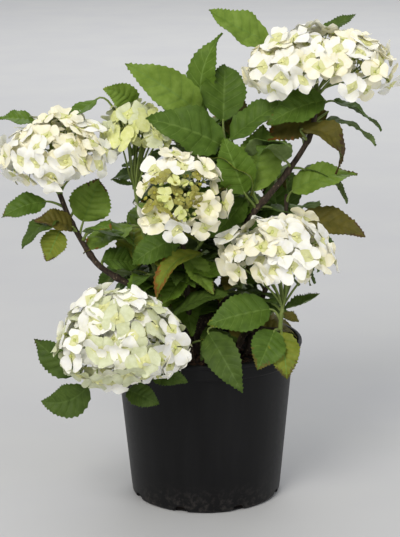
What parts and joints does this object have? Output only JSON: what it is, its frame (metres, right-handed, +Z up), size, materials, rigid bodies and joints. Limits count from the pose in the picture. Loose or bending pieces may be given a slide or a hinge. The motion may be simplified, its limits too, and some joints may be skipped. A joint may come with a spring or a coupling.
{
  "type": "potted hydrangea shrub",
  "caption": "Bushy shrub with broad domed cream flower heads and large ovate leaves, growing in a round tapered nursery pot of compost.",
  "frame": {"origin": "centre of the pot's flat underside, on the surface that the pot stands on", "axes": "+Z up the pot's axis, +X to the right and -Y towards the side of the plant that is its front"},
  "size_m": [0.3776, 0.3158, 0.4773],
  "materials": {
    "pot": "satin",
    "compost": "rough",
    "cane_bark": "rough",
    "green_stem": "satin",
    "cream_petal": "matte",
    "young_petal": "matte",
    "leaf": "satin"
  },
  "bodies": {
    "root": {"pot": "pot", "compost": "compost", "flower_head_top_right": "cream_petal", "flower_head_left": "cream_petal", "flower_head_young": "young_petal", "flower_head_centre": "cream_petal", "flower_head_right": "cream_petal", "flower_head_low_left": "cream_petal", "stool": "cane_bark", "cane_left_tall": "cane_bark", "cane_right_tall": "cane_bark", "cane_left_back": "green_stem", "cane_centre": "cane_bark", "cane_right_low": "cane_bark", "flower_stalk_right_low": "green_stem", "cane_left_low": "cane_bark", "cane_leafy": "green_stem", "cane_right_leafy": "cane_bark", "cane_back": "cane_bark", "leaf_upper_left": "leaf", "leaf_small_left": "leaf", "leaf_twisted": "leaf", "leaf_top": "leaf", "leaf_upright": "leaf", "leaf_upper_right": "leaf", "leaf_upper_front": "leaf", "leaf_shoot_left": "leaf", "leaf_shoot_right": "leaf", "leaf_right_mid": "leaf", "leaf_curled": "leaf", "leaf_under_top_a": "leaf", "leaf_under_top_b": "leaf", "leaf_right_high": "leaf", "leaf_behind_top": "leaf", "leaf_right_low": "leaf", "leaf_centre_left": "leaf", "leaf_narrow_left": "leaf", "leaf_mid_left": "leaf", "leaf_arching": "leaf", "leaf_over_pot": "leaf", "leaf_over_rim": "leaf", "leaf_low_right_a": "leaf", "leaf_low_right_b": "leaf", "leaf_left_top_a": "leaf", "leaf_left_top_b": "leaf", "leaf_left_edge": "leaf", "leaf_left_under": "leaf", "leaf_left_hanging": "leaf", "leaf_left_rising": "leaf", "leaf_low_left_a": "leaf", "leaf_low_left_b": "leaf", "leaf_low_left_c": "leaf", "leaf_low_left_d": "leaf", "foliage_core": "leaf", "foliage_core_low": "leaf", "foliage_back_high": "leaf", "foliage_back_left": "leaf", "foliage_back_right": "leaf", "foliage_back_low_left": "leaf", "foliage_back_low_right": "leaf"}
  },
  "joints": []
}
